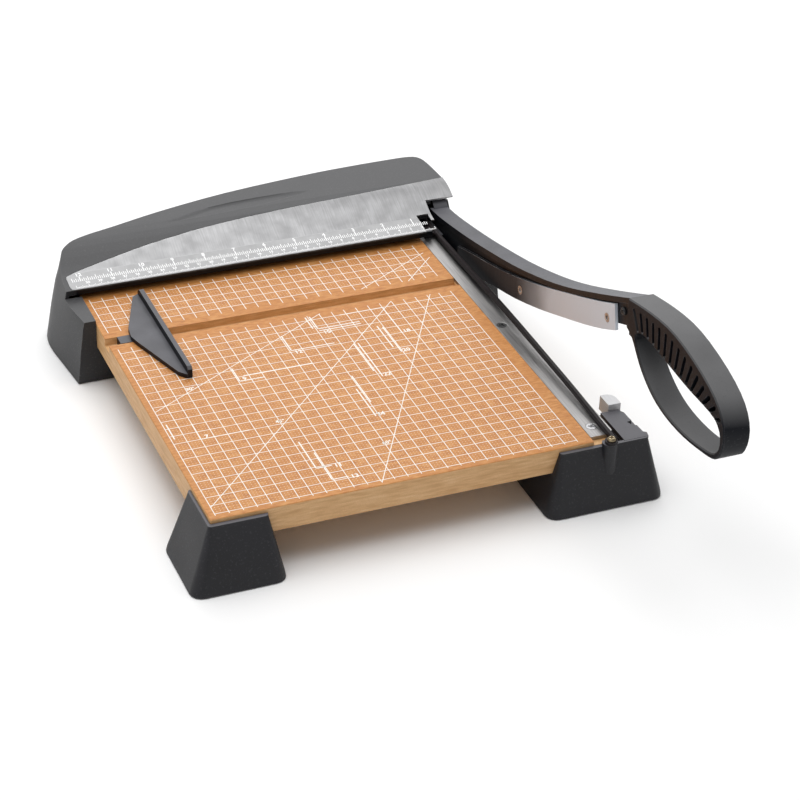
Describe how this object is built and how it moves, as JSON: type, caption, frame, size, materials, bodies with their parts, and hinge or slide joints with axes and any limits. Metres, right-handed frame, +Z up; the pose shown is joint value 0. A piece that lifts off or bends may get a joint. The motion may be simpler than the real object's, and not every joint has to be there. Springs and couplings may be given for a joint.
{
  "type": "guillotine paper trimmer",
  "caption": "Wooden-board paper trimmer with a swinging blade arm, loop handle, ruler plate at the rear and a sliding paper guide.",
  "frame": {"origin": "centre of the underside of the bounding box, where the pads stand", "axes": "+Z up, +X along the ruler towards the blade arm, +Y towards the rear housing"},
  "size_m": [0.3608, 0.5616, 0.1703],
  "materials": {
    "wood": "satin fibreboard",
    "steel": "brushed",
    "steel_bright": "bright",
    "screw": "plated",
    "screw_dark": "blackened",
    "brass": "plated",
    "guard": "satin",
    "black": "satin",
    "handle": "satin",
    "housing": "fine grain",
    "foot": "satin",
    "aluminium": "brushed",
    "rubber": "matt"
  },
  "bodies": {
    "base": {"board": "wood", "bed_knife": "steel", "knife_screw_front": "screw", "knife_screw_rear": "screw", "guard_rail": "guard", "guard_screw": "brass", "guard_rivet": "screw", "pivot_bolt": "screw", "pivot_bracket": "black", "pivot_washer": "screw", "pivot_nut": "screw", "bracket_screw_front": "screw", "bracket_screw_rear": "screw", "rear_housing": "housing", "ruler_plate": "aluminium", "fence_bar": "black", "front_left_foot": "foot", "left_foot_screw_inner": "screw", "left_foot_screw_outer": "screw", "front_right_foot": "foot", "right_foot_screw_inner": "screw", "right_foot_screw_outer": "screw", "foot_block": "foot", "latch_pin": "screw", "pad_front_left": "rubber", "pad_front_right": "rubber", "pad_rear_left": "rubber", "pad_rear_right": "rubber", "housing_screw_1": "screw", "housing_screw_2": "screw", "housing_screw_3": "screw", "housing_screw_4": "screw"},
    "arm": {"cutter_arm": "black", "blade": "steel", "blade_screw_front": "screw", "blade_screw_middle": "screw", "handle": "handle", "handle_screw": "screw_dark"},
    "latch_body": {"latch": "steel_bright"},
    "guide": {"paper_guide": "black"}
  },
  "joints": [
    {"name": "arm_hinge", "type": "hinge", "parent": "base", "child": "arm", "pos_m": [0.15538, 0.21318, 0.05], "axis": [1, 0, 0], "range_deg": [-22, 13.2]},
    {"name": "latch_hinge", "type": "hinge", "parent": "base", "child": "latch_body", "pos_m": [0.16258, -0.10243, 0.031], "axis": [-1, 0, 0], "range_deg": [0, 20]},
    {"name": "guide_slide", "type": "slide", "parent": "base", "child": "guide", "axis": [1, 0, 0], "range_m": [-0.008, 0.235]}
  ]
}
